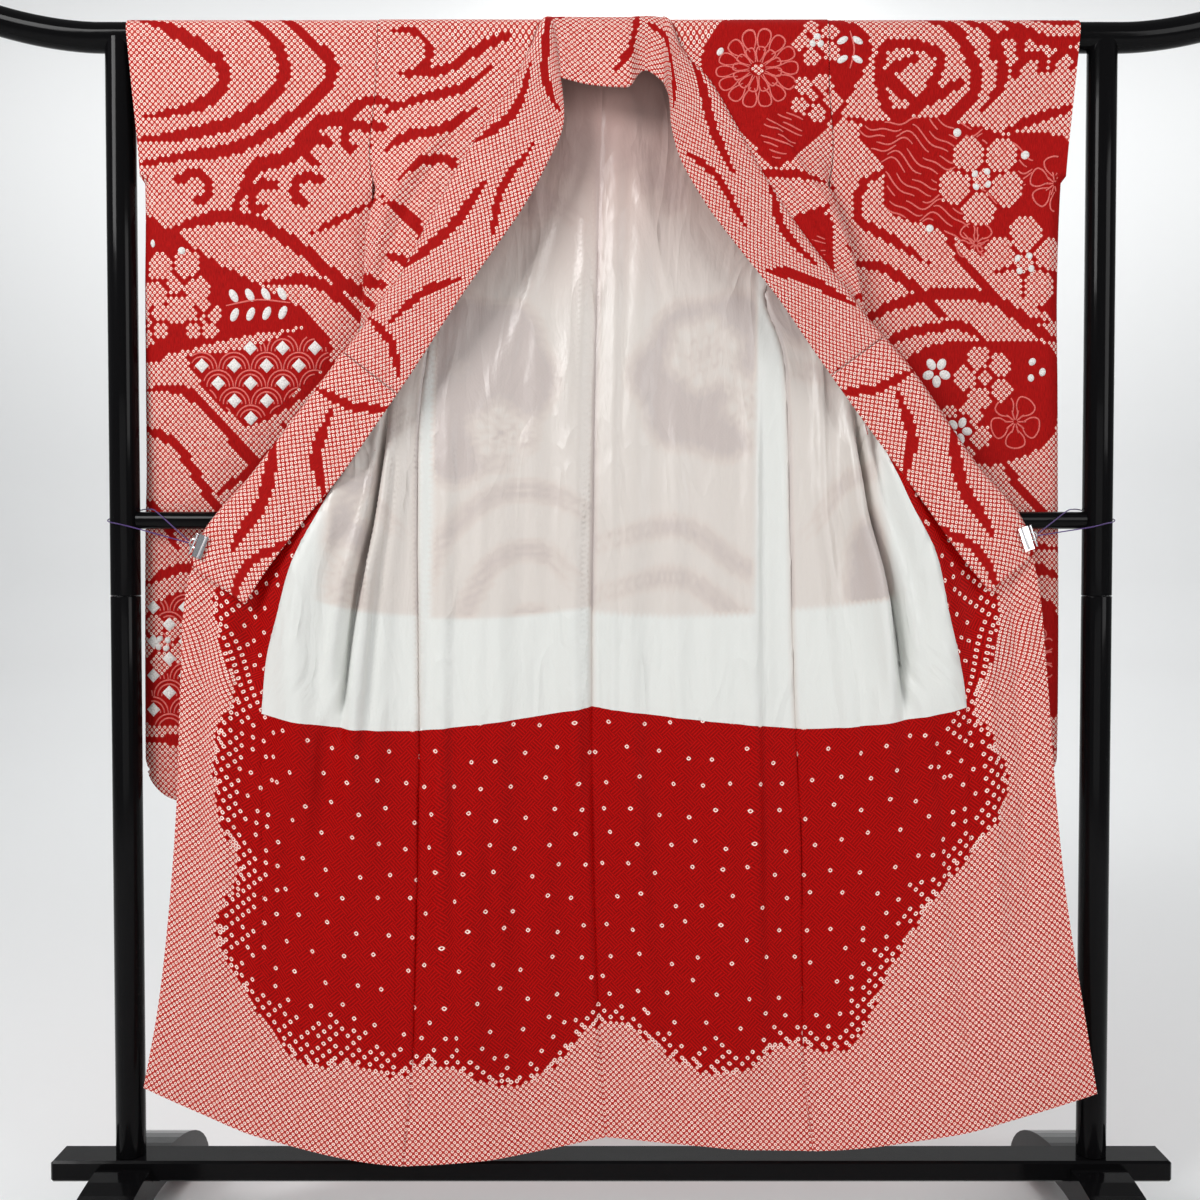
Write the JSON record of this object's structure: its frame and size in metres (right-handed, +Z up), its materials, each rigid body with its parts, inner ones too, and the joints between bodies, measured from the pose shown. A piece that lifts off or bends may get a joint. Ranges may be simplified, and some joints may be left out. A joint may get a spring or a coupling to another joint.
{
  "type": "furisode on kimono stand",
  "caption": "Long-sleeved kimono with red and white tie-dyed pattern, hung open on a black lacquered stand so that its white and red linings show.",
  "frame": {"origin": "on the floor, under the middle of the stand", "axes": "+X along the stand's bars to the viewer's right, +Y away from the viewer, +Z up; the open front of the furisode faces -Y"},
  "size_m": [1.8752, 0.44, 1.7415],
  "materials": {
    "kanoko": "crimped tie-dyed silk, matt",
    "hem_red": "red figured silk, soft sheen",
    "white_silk": "white silk satin",
    "black_lacquer": "black gloss lacquer",
    "chrome": "polished",
    "purple_cord": "twisted cord"
  },
  "bodies": {
    "root": {"body_left": "kanoko", "body_right": "kanoko", "overlap_left": "kanoko", "overlap_right": "kanoko", "overlap_lining_left": "hem_red", "overlap_lining_right": "hem_red", "hem_lining_back_left": "hem_red", "hem_lining_back_right": "hem_red", "hem_lining_front_left": "hem_red", "hem_lining_front_right": "hem_red", "body_lining_left": "white_silk", "body_lining_right": "white_silk", "collar_left": "kanoko", "collar_right": "kanoko", "over_collar": "kanoko", "sleeve_left": "kanoko", "sleeve_right": "kanoko", "top_bar": "black_lacquer", "mid_bar": "black_lacquer", "upright_lower_left": "black_lacquer", "upright_upper_left": "black_lacquer", "upright_lower_right": "black_lacquer", "upright_upper_right": "black_lacquer", "base_bar": "black_lacquer", "foot_left": "black_lacquer", "foot_right": "black_lacquer", "clip_left": "chrome", "clip_right": "chrome", "cord_left": "purple_cord", "cord_right": "purple_cord"}
  },
  "joints": []
}
